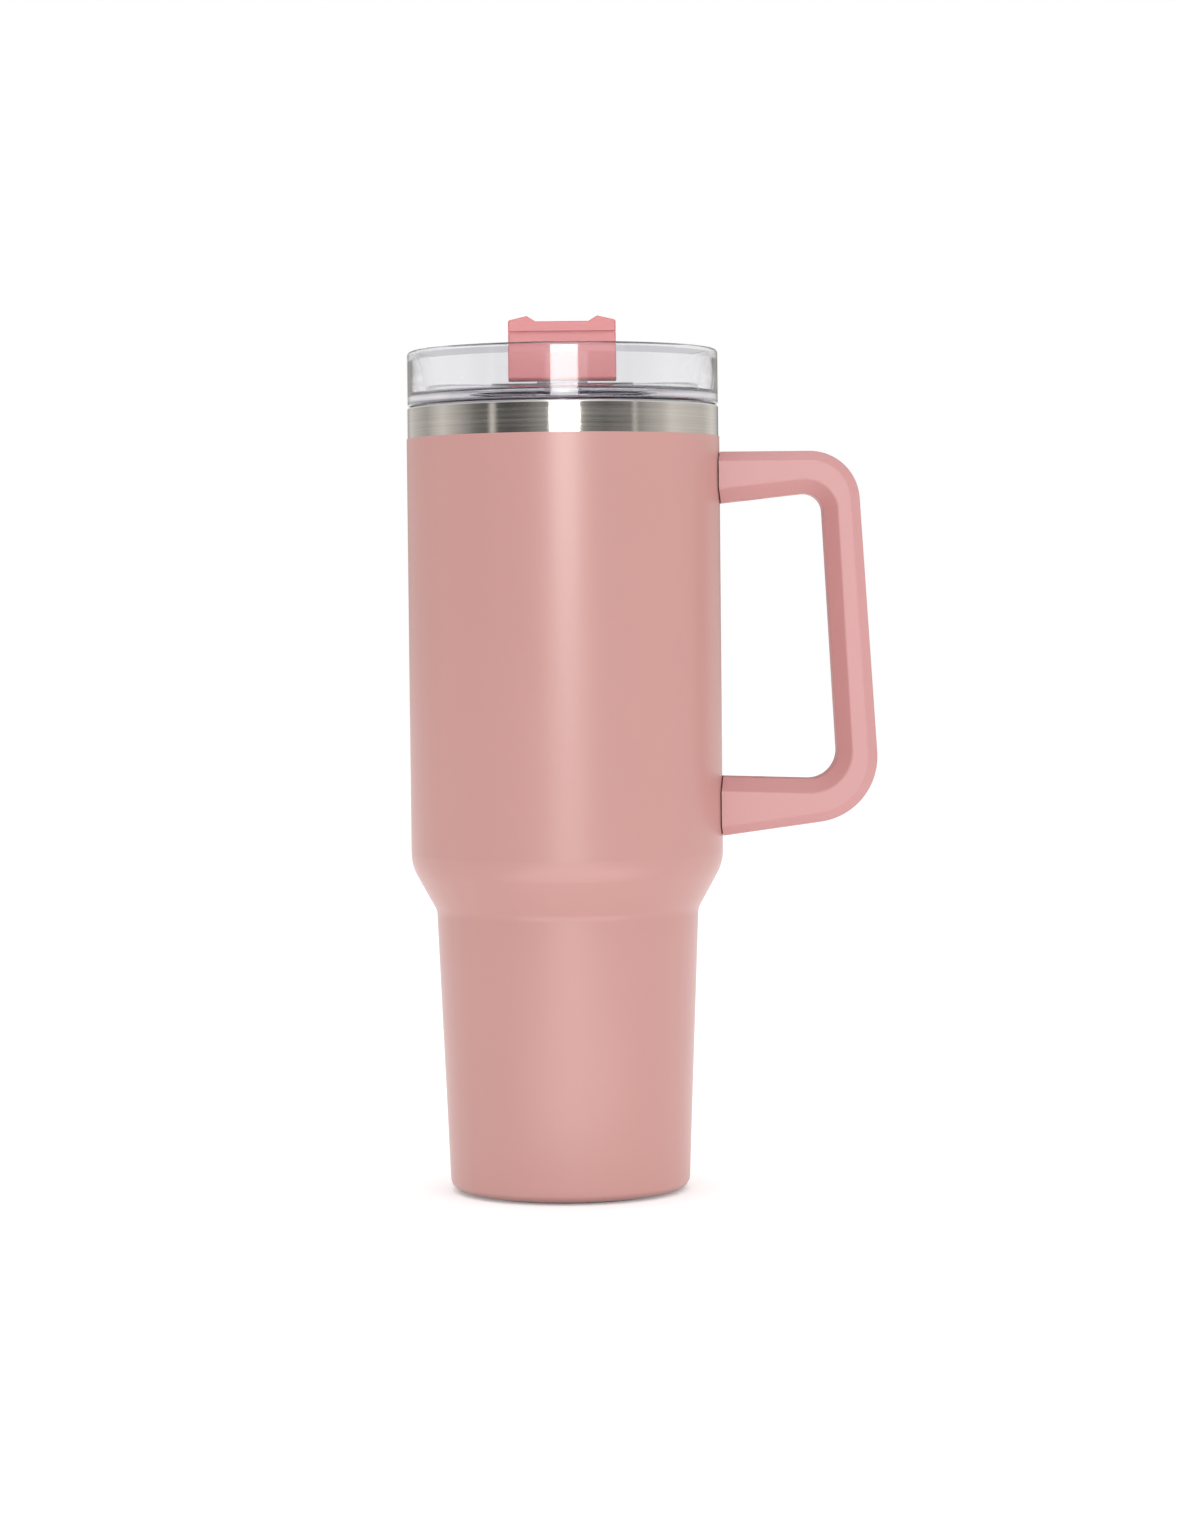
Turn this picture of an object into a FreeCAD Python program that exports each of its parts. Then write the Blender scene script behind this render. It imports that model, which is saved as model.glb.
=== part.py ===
"""Insulated tumbler: double-wall steel cup, side handle, clear press-in lid with a flip lever.

Frame: +Z up, Z is the cup's axis, the origin is on that axis at the resting plane,
and the handle stands out towards +X. Millimetres.
"""
import FreeCAD, Part
import math
import os
import Sketcher

Vector = FreeCAD.Vector

# alias, value (mm), meaning
SIZES = [
    ("rim_z", 251.0, "top of the steel mouth"),
    ("rim_bend", 0.4, "rounding of the mouth's two edges"),
    ("coat_top_z", 241.2, "upper edge of the powder coat"),
    ("coat_r", 50.0, "outside of the coat on the straight upper wall"),
    ("coat", 0.3, "powder coat thickness"),
    ("steel", 0.5, "wall of every pressed steel shell"),
    ("shoulder_z", 105.0, "upper corner of the shoulder"),
    ("shoulder_bend", 14.0, "rounding of the upper shoulder corner"),
    ("waist_z", 90.4, "lower corner of the shoulder"),
    ("waist_r", 42.0, "outside of the coat at the waist"),
    ("waist_bend", 5.0, "rounding of the waist corner"),
    ("foot_z", 0.6, "lower edge of the coated foot"),
    ("foot_r", 38.38, "outside of the coat at the foot"),
    ("foot_bend", 3.6, "rounding of the foot"),
    ("foot_mouth_r", 33.8, "opening inside the turned-in foot"),
    ("liner_inset", 3.3, "from the coat's outside to the liner's outside"),
    ("liner_floor_z", 11.0, "drinking floor inside the cup"),
    ("liner_floor_bend", 6.0, "rounding of the inner floor corner"),
    ("foil", 0.1, "copper heat-shield foil around the liner"),
    ("foil_low_z", 22.0, "lower edge of the foil"),
    ("foil_high_z", 236.0, "upper edge of the foil"),
    ("disc_z", 7.0, "top of the vacuum disc in the foot"),
    ("disc_lap", 0.9, "how far the vacuum disc laps over the foot's turned-in edge"),
    ("disc_bend", 1.5, "inner rounding of the vacuum disc's rim"),
    ("dimple_r", 3.0, "seal dimple in the vacuum disc"),
    ("dimple_deep", 1.2, "depth of the seal dimple"),
    ("bead_taper", 0.4, "taper and rounding of the glass bead's face"),
    ("port_hole_r", 1.0, "evacuation hole"),
    ("cap_z", 3.0, "top of the steel base cap"),
    ("cap_low_z", 0.9, "lower edge of the base cap's flange"),
    ("cap_bend", 1.0, "outer rounding of the base cap"),
    ("cap_in_bend", 0.2, "inner rounding of the base cap"),
    ("pad_r", 33.0, "silicone base pad"),
    ("pad_bend", 0.6, "rounding of the pad's lower edge"),
    ("pad_ring_r", 25.8, "inside of the ring groove under the pad"),
    ("pad_ring_wide", 2.0, "width of the ring groove"),
    ("pad_ring_deep", 0.5, "depth of the ring groove"),
    ("getter_x", 14.0, "getter's distance from the axis"),
    ("getter_r", 4.2, "getter pill radius"),
    ("getter_tall", 1.8, "getter pill thickness"),
    ("clip_wall", 0.5, "wall of the getter's clip"),
    ("clip_lip", 1.2, "how far the clip's lip reaches under the pill"),
    ("arm_wide", 20.0, "handle width across"),
    ("arm_top_z", 236.2, "upper edge of the handle's top arm"),
    ("grip_top_x", 93.44, "grip's outer edge, carried up to the top arm's edge"),
    ("grip_low_x", 100.6, "grip's outer edge, carried down to the low arm's edge"),
    ("grip_low_z", 120.4, "low arm's edge, carried out to the grip's outer edge"),
    ("arm_low_z", 113.05, "low arm's lower edge, carried in to the arms' root"),
    ("grip_top_bend", 16.0, "outer rounding of the handle's upper corner"),
    ("grip_low_bend", 21.0, "outer rounding of the handle's lower corner"),
    ("gap_top_z", 219.35, "top arm's underside, carried in to the arms' root"),
    ("gap_top_x", 82.4, "finger gap's upper far corner, x"),
    ("gap_top_far_z", 223.35, "finger gap's upper far corner, z"),
    ("gap_low_x", 87.25, "finger gap's lower far corner, x"),
    ("gap_low_far_z", 131.25, "finger gap's lower far corner, z"),
    ("gap_low_z", 132.7, "low arm's upper face, carried in to the arms' root"),
    ("gap_top_bend", 6.0, "rounding of the gap's upper corner"),
    ("gap_low_bend", 9.0, "rounding of the gap's lower corner"),
    ("outer_bevel", 3.0, "bevel along the handle's outer edges"),
    ("inner_bevel", 4.5, "bevel along the finger gap's edges"),
    ("handle_edge", 1.0, "softening of the handle's bevelled edges"),
    ("arm_root_x", 45.0, "where the arms' outline closes inside the cup"),
    ("arm_gap", 0.4, "gap between the arms' ends and the coat"),
    ("saddle", 1.5, "thickness of a bracket's foot on the cup"),
    ("blank_in", 4.0, "how far a bracket's blank reaches into the cup's round"),
    ("saddle_wide", 12.0, "width of a bracket's foot"),
    ("saddle_tall", 10.0, "height of a bracket's foot"),
    ("tongue_wide", 10.0, "width of a bracket's tongue"),
    ("tongue_tall", 3.0, "thickness of a bracket's tongue"),
    ("tongue_end_x", 66.0, "end of a bracket's tongue"),
    ("top_tongue_z", 229.5, "middle of the upper tongue"),
    ("low_tongue_z", 123.5, "middle of the lower tongue"),
    ("screw_x", 60.0, "handle screws' distance from the cup's axis"),
    ("screw_r", 2.0, "handle screw, M4"),
    ("head_r", 3.6, "screw head radius"),
    ("head_tall", 2.2, "screw head height"),
    ("head_bend", 0.6, "rounding of the screw head"),
    ("screw_tip", 0.5, "bevel at the screw's tip"),
    ("tip_room", 1.0, "room in the arm beyond the screw's tip"),
    ("socket_r", 1.3, "screw drive recess"),
    ("socket_deep", 1.3, "depth of the recess at its edge"),
    ("socket_end", 1.6, "depth of the recess at its middle"),
    ("screw_reach", 3.0, "from the tongue's middle to the screw's tip"),
    ("head_reach", 4.0, "from the tongue's middle to the head's seat"),
    ("plug_r", 3.8, "screw plug and its counterbore"),
    ("plug_tall", 1.4, "screw plug thickness"),
    ("plug_bend", 0.4, "rounding of the plug's face"),
    ("plug_room", 8.0, "length of the counterbore, out through the arm's face"),
    ("top_plug_reach", 7.8, "from the upper tongue's middle to its plug's outer face"),
    ("low_plug_reach", 8.2, "from the lower tongue's middle to its plug's outer face"),
    ("slack", 0.1, "assembly slack round brackets, screws and plugs"),
    ("lid_r", 49.6, "outside of the clear lid"),
    ("lid_low_z", 251.3, "underside of the lid's flange"),
    ("lid_top_z", 269.0, "lid rim"),
    ("dish_top_r", 46.2, "inside of the lid's wall near the rim"),
    ("dish_low_r", 43.8, "inside of the lid's wall, carried down to the floor"),
    ("dish_z", 254.9, "lid floor, upper face"),
    ("dish_bend", 1.2, "rounding of the floor's corner"),
    ("rim_straight", 3.0, "straight inner wall below the lid's rim"),
    ("rim_in_bend", 1.2, "inner rounding of the lid's rim"),
    ("rim_out_bend", 1.4, "outer rounding of the lid's rim"),
    ("flange_bend", 1.1, "rounding of the flange's lower edge"),
    ("under_z", 251.8, "lid floor, lower face"),
    ("skirt_r", 44.9, "outside of the skirt inside the mouth"),
    ("skirt_in_r", 41.4, "inside of the skirt"),
    ("skirt_low_z", 238.5, "lower end of the skirt"),
    ("skirt_lead", 1.1, "lead-in bevel at the skirt's lower end"),
    ("skirt_bend", 2.0, "rounding between the skirt and the floor"),
    ("groove_r", 42.9, "bottom of the gasket groove"),
    ("groove_low_z", 241.0, "gasket groove, lower side"),
    ("groove_high_z", 247.0, "gasket groove, upper side"),
    ("groove_bend", 0.3, "rounding at the bottom of the gasket groove"),
    ("lip_r", 45.6, "outside of the gasket's lips"),
    ("lip_rise", 1.2, "from the gasket groove's side to a lip"),
    ("lip_tall", 0.6, "thickness of a lip at its edge"),
    ("lip_slope", 0.8, "height of a lip's slope back to the neck"),
    ("neck_inset", 0.3, "gasket's neck, inside the skirt's face"),
    ("gasket_play", 0.1, "play between the gasket and the groove's sides"),
    ("hub_r", 23.0, "round boss that carries the lever"),
    ("hub_z", 256.1, "top of the boss"),
    ("hub_bend", 0.7, "rounding of the boss's edge"),
    ("hub_root", 0.4, "rounding at the boss's foot"),
    ("hinge_y", -1.5, "lever's hinge axis, y"),
    ("hinge_z", 260.0, "lever's hinge axis, z"),
    ("knuckle_r", 2.1, "lid's hinge knuckle"),
    ("knuckle_bend", 2.0, "rounding of the knuckle's top"),
    ("knuckle_wide", 16.0, "length of the lid's hinge knuckle"),
    ("pin_r", 1.0, "hinge pin"),
    ("pin_long", 32.4, "hinge pin length"),
    ("pin_edge", 0.2, "bevel at the pin's ends"),
    ("pin_play", 0.05, "radial play of the lever on the pin"),
    ("lever_wide", 34.3, "lever width"),
    ("lever_thick", 7.0, "lever thickness"),
    ("lever_back_bend", 3.4, "rounding of the lever's foot at the back, about the hinge"),
    ("lever_front_bend", 1.6, "rounding of the lever's foot at the front"),
    ("lever_corner_z", 278.6, "lever's upper corners"),
    ("lever_bend", 0.8, "rounding of the lever's outline"),
    ("ear_bend", 0.6, "rounding of the ears' tips"),
    ("ear_z", 280.0, "tips of the lever's two ears"),
    ("ear_x", 11.2, "ears' distance from the lever's middle"),
    ("notch_x", 8.5, "half width of the finger notch between the ears"),
    ("notch_z", 278.3, "floor of the finger notch"),
    ("slot_play", 0.3, "play between the lever and the knuckle"),
    ("line_z", 274.7, "middle of the groove across the lever"),
    ("line_tall", 1.0, "height of that groove"),
    ("line_deep", 0.9, "depth of that groove"),
    ("lever_edge", 0.5, "rounding of the lever's edges"),
    ("sip_reach", 9.8, "from the hinge axis to the middle of the stopper"),
    ("sip_r", 4.3, "sip and straw hole"),
    ("seat_r", 6.3, "seat round the sip hole"),
    ("seat_deep", 1.2, "depth of the seat"),
    ("stopper_r", 5.6, "silicone stopper"),
    ("stopper_proud", 1.4, "how far the stopper stands off the lever"),
    ("stopper_bend", 0.5, "rounding of the stopper's edge"),
    ("hollow_r", 3.3, "hollow in the stopper's face"),
    ("hollow_deep", 0.6, "depth of that hollow"),
    ("hollow_slope", 1.0, "width of the hollow's sloping side"),
    ("stem_r", 2.4, "stopper's stem in the lever"),
    ("stem_long", 3.0, "length of the stopper's stem"),
    ("vent_r", 1.0, "air vent in the lid floor"),
    ("vent_y", 32.0, "air vent's distance behind the axis"),
    ("past", 1.0, "how far a cut or a pad runs past the face it meets"),
]

doc = FreeCAD.newDocument("tumbler")
dim = doc.addObject("Spreadsheet::Sheet", "dim")
for row, (alias, value, meaning) in enumerate(SIZES, start=1):
    dim.set(f"A{row}", meaning)
    dim.set(f"B{row}", str(value))
    dim.setAlias(f"B{row}", alias)
doc.recompute()

NODES = []
FAR = 1000.0  # longer than any part of the tumbler, to both sides of a plane
NEAR = 0.01  # mm, closer than this counts as lying on a face
NOTHING = 1e-9  # mm, smaller than this counts as zero


def number(expression):
    """Value of an expression over the sheet's sizes."""
    return float(dim.evalExpression(str(expression)))


def origin_plane(body, role):
    return next(item for item in body.Origin.OriginFeatures if item.Role == role)


def new_body(label, keep=True):
    body = doc.addObject("PartDesign::Body", label)
    body.Label = label
    if keep:
        NODES.append(body)
    return body


def place(item, **where):
    """Bind x, y or z of an object's place to expressions."""
    for axis, expression in where.items():
        item.setExpression("Placement.Base." + axis, expression)


def turn_to(item, direction):
    """Turn an object's own +Z to a direction."""
    item.Placement.Rotation = FreeCAD.Rotation(Vector(0, 0, 1), Vector(*direction))


# ---- sketches -------------------------------------------------------------------------

def new_sketch(body, name, role, lift=None):
    """Empty sketch on one of the body's origin planes, moved along its normal by lift."""
    sketch = body.newObject("Sketcher::SketchObject", name)
    sketch.AttachmentSupport = [(origin_plane(body, role), "")]
    sketch.MapMode = "FlatFace"
    if lift:
        sketch.setExpression("AttachmentOffset.Base.z", lift)
    return sketch


def hold(sketch, kind, geometry, point, expression):
    """Hold one coordinate of a point at an expression, measured from the sketch's origin."""
    value = number(expression)
    if abs(value) < NOTHING:
        axis = -2 if kind == "DistanceX" else -1
        sketch.addConstraint(Sketcher.Constraint("PointOnObject", geometry, point, axis))
        return
    if value > 0:
        ends, text = (-1, 1, geometry, point), str(expression)
    else:
        ends, text = (geometry, point, -1, 1), f"-({expression})"
    index = sketch.addConstraint(Sketcher.Constraint(kind, *ends, abs(value)))
    sketch.setExpression(f"Constraints[{index}]", text)


def outline(sketch, corners):
    """Closed outline through (across, up) or (across, up, rounding) corners."""
    count = len(corners)
    at = [Vector(number(c[0]), number(c[1]), 0) for c in corners]
    bend = [number(c[2]) if len(c) > 2 else 0.0 for c in corners]
    way = [(at[(i + 1) % count] - at[i]).normalize() for i in range(count)]
    arcs, enter, leave = [None] * count, list(at), list(at)
    for i in range(count):
        if bend[i]:
            before, after = way[i - 1], way[i]
            turn = before.getAngle(after)
            back = bend[i] * math.tan(turn / 2)
            enter[i], leave[i] = at[i] - before * back, at[i] + after * back
            side = 1 if before.cross(after).z > 0 else -1
            centre = enter[i] + Vector(-before.y, before.x, 0) * bend[i] * side
            angles = [math.atan2(p.y - centre.y, p.x - centre.x) for p in (enter[i], leave[i])]
            if side < 0:
                angles.reverse()
            arcs[i] = (Part.Circle(centre, Vector(0, 0, 1), bend[i]), angles, side)
    lines = [sketch.addGeometry(Part.LineSegment(leave[i], enter[(i + 1) % count]))
             for i in range(count)]
    for i in range(count):
        before, after = lines[i - 1], lines[i]
        if arcs[i] is None:
            sketch.addConstraint(Sketcher.Constraint("Coincident", before, 2, after, 1))
            held, point = after, 1
        else:
            circle, angles, side = arcs[i]
            arc = sketch.addGeometry(Part.ArcOfCircle(circle, *angles))
            first, last = (1, 2) if side > 0 else (2, 1)
            sketch.addConstraint(Sketcher.Constraint("Tangent", before, 2, arc, first))
            sketch.addConstraint(Sketcher.Constraint("Tangent", arc, last, after, 1))
            index = sketch.addConstraint(Sketcher.Constraint("Radius", arc, bend[i]))
            sketch.setExpression(f"Constraints[{index}]", str(corners[i][2]))
            held, point = sketch.addGeometry(Part.Point(at[i]), True), 1
            sketch.addConstraint(Sketcher.Constraint("PointOnObject", held, 1, before))
            sketch.addConstraint(Sketcher.Constraint("PointOnObject", held, 1, after))
        hold(sketch, "DistanceX", held, point, corners[i][0])
        hold(sketch, "DistanceY", held, point, corners[i][1])
    return sketch


def ring(sketch, across, up, radius):
    """Circle about a point given by expressions."""
    circle = Part.Circle(Vector(number(across), number(up), 0), Vector(0, 0, 1), number(radius))
    index = sketch.addGeometry(circle)
    held = sketch.addConstraint(Sketcher.Constraint("Radius", index, number(radius)))
    sketch.setExpression(f"Constraints[{held}]", str(radius))
    hold(sketch, "DistanceX", index, 3, across)
    hold(sketch, "DistanceY", index, 3, up)
    return sketch


def box_corners(low_x, low_y, high_x, high_y):
    return [(low_x, low_y), (high_x, low_y), (high_x, high_y), (low_x, high_y)]


# ---- features -------------------------------------------------------------------------

def turned(label, corners, keep=True):
    """Body turned about its own Z from an outline of (radius, height[, rounding])."""
    body = new_body(label, keep)
    sketch = outline(new_sketch(body, label + "_outline", "XZ_Plane"), corners)
    feature = body.newObject("PartDesign::Revolution", label + "_turn")
    feature.Profile = sketch
    feature.ReferenceAxis = (sketch, ["V_Axis"])
    feature.Angle = 360
    return body


def padded(body, sketch, length):
    """Pad a sketch evenly to both sides of its plane."""
    feature = body.newObject("PartDesign::Pad", sketch.Name + "_pad")
    feature.Profile = sketch
    feature.SideType = "Symmetric"
    feature.setExpression("Length", length)
    return feature


def cut(body, sketch, length=None, both=False, towards_normal=False):
    """Pocket a sketch and make sure that it takes material away."""
    doc.recompute()
    before = body.Shape.Volume
    feature = body.newObject("PartDesign::Pocket", sketch.Name + "_cut")
    feature.Profile = sketch
    feature.Reversed = towards_normal
    if both:
        feature.SideType = "Symmetric"
    if length:
        feature.setExpression("Length", length)
    else:
        feature.Length = FAR
    doc.recompute()
    if body.Shape.Volume > before - NEAR:
        raise RuntimeError(sketch.Name + " takes nothing away")
    return feature


def finish_edges(body, kind, size, wanted):
    """Fillet or chamfer the edges of the body that wanted(edge) picks."""
    doc.recompute()
    tip = body.Tip
    names = [f"Edge{i}" for i, edge in enumerate(tip.Shape.Edges, start=1) if wanted(edge)]
    if not names:
        raise RuntimeError("no edges for a " + kind + " on " + body.Label)
    feature = body.newObject("PartDesign::" + kind, f"{body.Name}_{kind}_{len(body.Group)}")
    feature.Base = (tip, names)
    feature.setExpression("Radius" if kind == "Fillet" else "Size", size)
    doc.recompute()
    return feature


def middle(edge):
    first, last = edge.ParameterRange
    return edge.valueAt((first + last) / 2)


# ---- cup ------------------------------------------------------------------------------

def wall_slope():
    return "(dim.waist_r - dim.foot_r) / (dim.waist_z - dim.foot_z)"


def foot_wall(inset, height):
    """Radius of the tapered lower wall, inset from the coat's outside, at a height."""
    return f"(dim.foot_r - {inset} + {wall_slope()} * ({height} - dim.foot_z))"


def shoulder(inset):
    """The two shoulder corners of a wall inset from the coat's outside, top first."""
    return [
        (f"dim.coat_r - {inset}", "dim.shoulder_z", "dim.shoulder_bend"),
        (f"dim.waist_r - {inset}", "dim.waist_z", "dim.waist_bend"),
    ]


def make_outer_shell():
    out, inner = "dim.coat", "(dim.coat + dim.steel)"
    top, low = "dim.rim_z - dim.steel", "(dim.foot_z + dim.coat)"
    lip = f"({low} + dim.steel)"
    return turned("outer_shell", [
        (f"dim.coat_r - {out}", top), *shoulder(out),
        (foot_wall(out, low), low, "dim.foot_bend - dim.coat"),
        ("dim.foot_mouth_r", low), ("dim.foot_mouth_r", lip),
        (foot_wall(inner, lip), lip, "dim.foot_bend - dim.coat - dim.steel"),
        *reversed(shoulder(inner)), (f"dim.coat_r - {inner}", top),
    ])


def bracket_window(body, tongue_z, tag):
    """Opening in the coat where a bracket's foot is welded to the steel."""
    half = "(dim.saddle_tall / 2 + dim.slack)"
    wide = "(dim.saddle_wide / 2 + dim.slack)"
    sketch = new_sketch(body, body.Name + tag, "YZ_Plane")
    outline(sketch, box_corners(f"-{wide}", f"{tongue_z} - {half}", wide, f"{tongue_z} + {half}"))
    cut(body, sketch, "dim.coat_r + dim.past", towards_normal=True)


def make_powder_coat():
    low, inner_low = "dim.foot_z", "(dim.foot_z + dim.coat)"
    body = turned("powder_coat", [
        ("dim.coat_r", "dim.coat_top_z"), *shoulder("0"),
        (foot_wall("0", low), low, "dim.foot_bend"), ("dim.foot_mouth_r", low),
        ("dim.foot_mouth_r", inner_low),
        (foot_wall("dim.coat", inner_low), inner_low, "dim.foot_bend - dim.coat"),
        *reversed(shoulder("dim.coat")), ("dim.coat_r - dim.coat", "dim.coat_top_z"),
    ])
    bracket_window(body, "dim.top_tongue_z", "_top_window")
    bracket_window(body, "dim.low_tongue_z", "_low_window")
    return body


def make_inner_liner():
    out, inner = "dim.liner_inset", "(dim.liner_inset + dim.steel)"
    floor, under = "dim.liner_floor_z", "(dim.liner_floor_z - dim.steel)"
    lip = "dim.rim_z - dim.steel"
    return turned("inner_liner", [
        ("0", floor), (foot_wall(inner, floor), floor, "dim.liner_floor_bend"),
        *reversed(shoulder(inner)),
        (f"dim.coat_r - {inner}", "dim.rim_z", "dim.rim_bend"),
        ("dim.coat_r - dim.coat", "dim.rim_z", "dim.rim_bend"), ("dim.coat_r - dim.coat", lip),
        (f"dim.coat_r - {out}", lip), *shoulder(out),
        (foot_wall(out, under), under, "dim.liner_floor_bend + dim.steel"), ("0", under),
    ])


def make_heat_shield():
    inner, out = "dim.liner_inset", "(dim.liner_inset - dim.foil)"
    top, low = "dim.foil_high_z", "dim.foil_low_z"
    return turned("heat_shield_foil", [
        (f"dim.coat_r - {out}", top), *shoulder(out), (foot_wall(out, low), low),
        (foot_wall(inner, low), low), *reversed(shoulder(inner)), (f"dim.coat_r - {inner}", top),
    ])


def make_vacuum_base():
    """Disc welded into the foot, with the seal dimple and the evacuation hole at its middle."""
    rim, rim_in = "(dim.foot_mouth_r + dim.disc_lap)", "(dim.foot_mouth_r + dim.disc_lap - dim.steel)"
    low, under = "dim.foot_z + dim.coat + dim.steel", "dim.disc_z - dim.steel"
    step, step_under = "dim.disc_z + dim.dimple_deep", "dim.disc_z + dim.dimple_deep - dim.steel"
    wall = "dim.dimple_r + dim.steel"
    return turned("vacuum_base", [
        ("dim.port_hole_r", step), (wall, step), (wall, "dim.disc_z"),
        (rim, "dim.disc_z", "dim.disc_bend + dim.steel"), (rim, low),
        (rim_in, low), (rim_in, under, "dim.disc_bend"),
        ("dim.dimple_r", under), ("dim.dimple_r", step_under), ("dim.port_hole_r", step_under),
    ])


def make_vacuum_seal():
    """Glass bead that was melted into the evacuation hole and fills the dimple under it."""
    step, step_under = "dim.disc_z + dim.dimple_deep", "dim.disc_z + dim.dimple_deep - dim.steel"
    under = "dim.disc_z - dim.steel"
    return turned("vacuum_seal", [
        ("0", step), ("dim.port_hole_r", step), ("dim.port_hole_r", step_under),
        ("dim.dimple_r", step_under), ("dim.dimple_r - dim.bead_taper", under, "dim.bead_taper"),
        ("0", under),
    ])


def make_base_cap():
    """Outer steel cover pressed into the foot."""
    inner, under = "dim.foot_mouth_r - dim.steel", "dim.cap_z - dim.steel"
    return turned("base_cap", [
        ("0", "dim.cap_z"), ("dim.foot_mouth_r", "dim.cap_z", "dim.cap_bend"),
        ("dim.foot_mouth_r", "dim.cap_low_z"), (inner, "dim.cap_low_z"),
        (inner, under, "dim.cap_in_bend"), ("0", under),
    ])


def make_base_pad():
    """Silicone pad that the tumbler stands on, with one shallow ring groove."""
    top, ring_out = "dim.cap_z - dim.steel", "dim.pad_ring_r + dim.pad_ring_wide"
    return turned("base_pad", [
        ("0", "0"), ("dim.pad_ring_r", "0"), ("dim.pad_ring_r", "dim.pad_ring_deep"),
        (ring_out, "dim.pad_ring_deep"), (ring_out, "0"),
        ("dim.pad_r", "0", "dim.pad_bend"), ("dim.pad_r", top), ("0", top),
    ])


def make_getter():
    """Getter pill in its clip, welded under the liner's floor inside the vacuum."""
    roof = "dim.liner_floor_z - dim.steel"
    low = f"({roof} - dim.getter_tall)"
    lip, lip_low = "dim.getter_r - dim.clip_lip", f"{low} - dim.clip_wall"
    wall = "dim.getter_r + dim.clip_wall"
    clip = turned("getter_clip", [
        ("dim.getter_r", roof), (wall, roof), (wall, lip_low),
        (lip, lip_low), (lip, low), ("dim.getter_r", low),
    ])
    pill = turned("getter_pill", [
        ("0", low), ("dim.getter_r", low), ("dim.getter_r", roof), ("0", roof),
    ])
    for item in (clip, pill):
        place(item, x="dim.getter_x")


# ---- handle ---------------------------------------------------------------------------

def clear_of_root(point):
    return point.x > number("dim.arm_root_x + dim.past")


def is_side_edge(edge):
    """Edge of the handle's outline on one of its two side faces, clear of the cup's end."""
    point = middle(edge)
    on_side = abs(abs(point.y) - number("dim.arm_wide / 2")) < NEAR
    return on_side and clear_of_root(point)


def is_gap_edge(edge):
    """Side edge that runs round the finger gap."""
    point = middle(edge)
    low, high = number("dim.gap_low_far_z - dim.past"), number("dim.gap_top_far_z + dim.past")
    in_gap = point.x < number("dim.gap_low_x + dim.past") and low < point.z < high
    return is_side_edge(edge) and in_gap


def is_outer_edge(edge):
    return is_side_edge(edge) and not is_gap_edge(edge)


def is_bevel_edge(edge):
    """Edge between a bevel and the face beside it, clear of the cup's end."""
    point = middle(edge)
    in_plane = edge.BoundBox.YLength < NEAR
    return in_plane and abs(point.y) > number("dim.past") and clear_of_root(point)


def make_handle():
    body = new_body("handle")
    root = "dim.arm_root_x"
    sketch = outline(new_sketch(body, "handle_outline", "XZ_Plane"), [
        (root, "dim.arm_top_z"), ("dim.grip_top_x", "dim.arm_top_z", "dim.grip_top_bend"),
        ("dim.grip_low_x", "dim.grip_low_z", "dim.grip_low_bend"),
        (root, "dim.arm_low_z"), (root, "dim.gap_low_z"),
        ("dim.gap_low_x", "dim.gap_low_far_z", "dim.gap_low_bend"),
        ("dim.gap_top_x", "dim.gap_top_far_z", "dim.gap_top_bend"),
        (root, "dim.gap_top_z"),
    ])
    padded(body, sketch, "dim.arm_wide")
    finish_edges(body, "Chamfer", "dim.outer_bevel", is_outer_edge)
    finish_edges(body, "Chamfer", "dim.inner_bevel", is_gap_edge)
    finish_edges(body, "Fillet", "dim.handle_edge", is_bevel_edge)
    seat = ring(new_sketch(body, "handle_seat", "XY_Plane"), "0", "0", "dim.coat_r + dim.arm_gap")
    cut(body, seat, both=True)
    make_arm_pockets(body, "top", "dim.top_tongue_z", -1)
    make_arm_pockets(body, "low", "dim.low_tongue_z", 1)
    return body


def make_arm_pockets(body, tag, tongue_z, way):
    """Room in one arm for its bracket, its screw and the screw's plug.

    way is 1 where the screw goes in from above and -1 where it goes in from below.
    """
    root = "dim.arm_root_x"
    half = "(dim.tongue_tall / 2 + dim.slack)"
    tongue = new_sketch(body, tag + "_tongue_room", "XZ_Plane")
    outline(tongue, box_corners(root, f"{tongue_z} - {half}",
                                "dim.tongue_end_x + dim.slack", f"{tongue_z} + {half}"))
    cut(body, tongue, "dim.tongue_wide + 2 * dim.slack", both=True)
    tall = "(dim.saddle_tall / 2 + dim.slack)"
    face = "dim.coat_r - dim.coat + dim.saddle + dim.slack"
    saddle = new_sketch(body, tag + "_saddle_room", "XZ_Plane")
    outline(saddle, box_corners(root, f"{tongue_z} - {tall}", face, f"{tongue_z} + {tall}"))
    cut(body, saddle, "dim.saddle_wide + 2 * dim.slack", both=True)
    tip = f"{tongue_z} - ({way}) * (dim.screw_reach + dim.tip_room)"
    shank = new_sketch(body, tag + "_screw_room", "XY_Plane", tip)
    ring(shank, "dim.screw_x", "0", "dim.screw_r + dim.slack")
    cut(body, shank, "dim.head_reach + dim.screw_reach + 2 * dim.tip_room", towards_normal=way > 0)
    seat = new_sketch(body, tag + "_plug_room", "XY_Plane", f"{tongue_z} + ({way}) * dim.head_reach")
    ring(seat, "dim.screw_x", "0", "dim.plug_r")
    cut(body, seat, "dim.plug_room", towards_normal=way > 0)


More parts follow.
